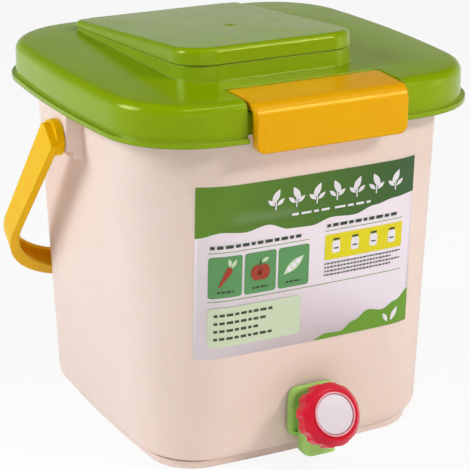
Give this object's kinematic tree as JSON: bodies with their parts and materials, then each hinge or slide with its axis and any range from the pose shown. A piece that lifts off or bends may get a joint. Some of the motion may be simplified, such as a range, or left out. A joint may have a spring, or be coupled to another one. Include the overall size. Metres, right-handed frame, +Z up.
{
  "type": "kitchen compost bin",
  "caption": "Square tapered compost bucket with a hinged latch-down lid, a wedge-shaped filling hatch, a bail handle, an inner strainer and a quarter-turn drain tap.",
  "frame": {"origin": "centre of the foot's flat underside", "axes": "+Z up, -Y towards the tap and latch at the front, +X to the right as the front is seen from the front"},
  "size_m": [0.288, 0.2991, 0.2855],
  "materials": {
    "bucket_body": "satin moulded polypropylene",
    "front_label": "printed polypropylene film",
    "strainer_plate": "satin moulded polypropylene",
    "lid_shell": "glossy moulded polypropylene",
    "lid_gasket": "soft silicone",
    "lid_hinge_pins": "drawn wire",
    "front_latch": "glossy moulded polypropylene",
    "latch_pin": "drawn wire",
    "hatch_cap": "glossy moulded polypropylene",
    "hatch_gasket": "soft silicone",
    "hatch_hinge_pin": "drawn wire",
    "bail_handle": "glossy moulded polypropylene",
    "tap_body": "satin moulded polypropylene",
    "tap_outer_gasket": "moulded nitrile",
    "tap_inner_gasket": "moulded nitrile",
    "tap_lock_nut": "satin moulded polypropylene",
    "tap_bonnet_ring": "satin moulded polypropylene",
    "tap_plug": "moulded acetal",
    "plug_o_rings": "moulded nitrile",
    "tap_knob": "glossy moulded plastic",
    "knob_screw": "plated steel",
    "knob_cap_disc": "glossy moulded plastic"
  },
  "bodies": {
    "bin": {"bucket_body": "bucket_body", "front_label": "front_label", "tap_body": "tap_body", "tap_outer_gasket": "tap_outer_gasket", "tap_inner_gasket": "tap_inner_gasket", "tap_lock_nut": "tap_lock_nut", "tap_bonnet_ring": "tap_bonnet_ring", "lid_hinge_pins": "lid_hinge_pins"},
    "strainer": {"strainer_plate": "strainer_plate"},
    "lid": {"lid_shell": "lid_shell", "lid_gasket": "lid_gasket", "latch_pin": "latch_pin", "hatch_hinge_pin": "hatch_hinge_pin"},
    "latch": {"front_latch": "front_latch"},
    "hatch": {"hatch_cap": "hatch_cap", "hatch_gasket": "hatch_gasket"},
    "handle": {"bail_handle": "bail_handle"},
    "tap_valve": {"tap_plug": "tap_plug", "plug_o_rings": "plug_o_rings", "tap_knob": "tap_knob", "knob_screw": "knob_screw", "knob_cap_disc": "knob_cap_disc"}
  },
  "joints": [
    {"name": "lid_hinge", "type": "hinge", "parent": "bin", "child": "lid", "pos_m": [0, 0.1408, 0.241], "axis": [-1, 0, 0], "range_deg": [0, 105]},
    {"name": "latch_hinge", "type": "hinge", "parent": "lid", "child": "latch", "pos_m": [0, -0.101, 0.2598], "axis": [-1, 0, 0], "range_deg": [0, 88]},
    {"name": "hatch_hinge", "type": "hinge", "parent": "lid", "child": "hatch", "pos_m": [-0.009, 0.10275, 0.26741], "axis": [-1, 0, 0], "range_deg": [0, 105]},
    {"name": "handle_swing", "type": "hinge", "parent": "bin", "child": "handle", "pos_m": [0, -0.002, 0.2175], "axis": [1, 0, 0], "range_deg": [0, 272]},
    {"name": "tap_turn", "type": "hinge", "parent": "bin", "child": "tap_valve", "pos_m": [0, -0.12909, 0.0361], "axis": [0, -0.8949, 0.4462], "range_deg": [0, 90]},
    {"name": "strainer_lift", "type": "slide", "parent": "bin", "child": "strainer", "axis": [0, 0, 1], "range_m": [0, 0.15]}
  ]
}
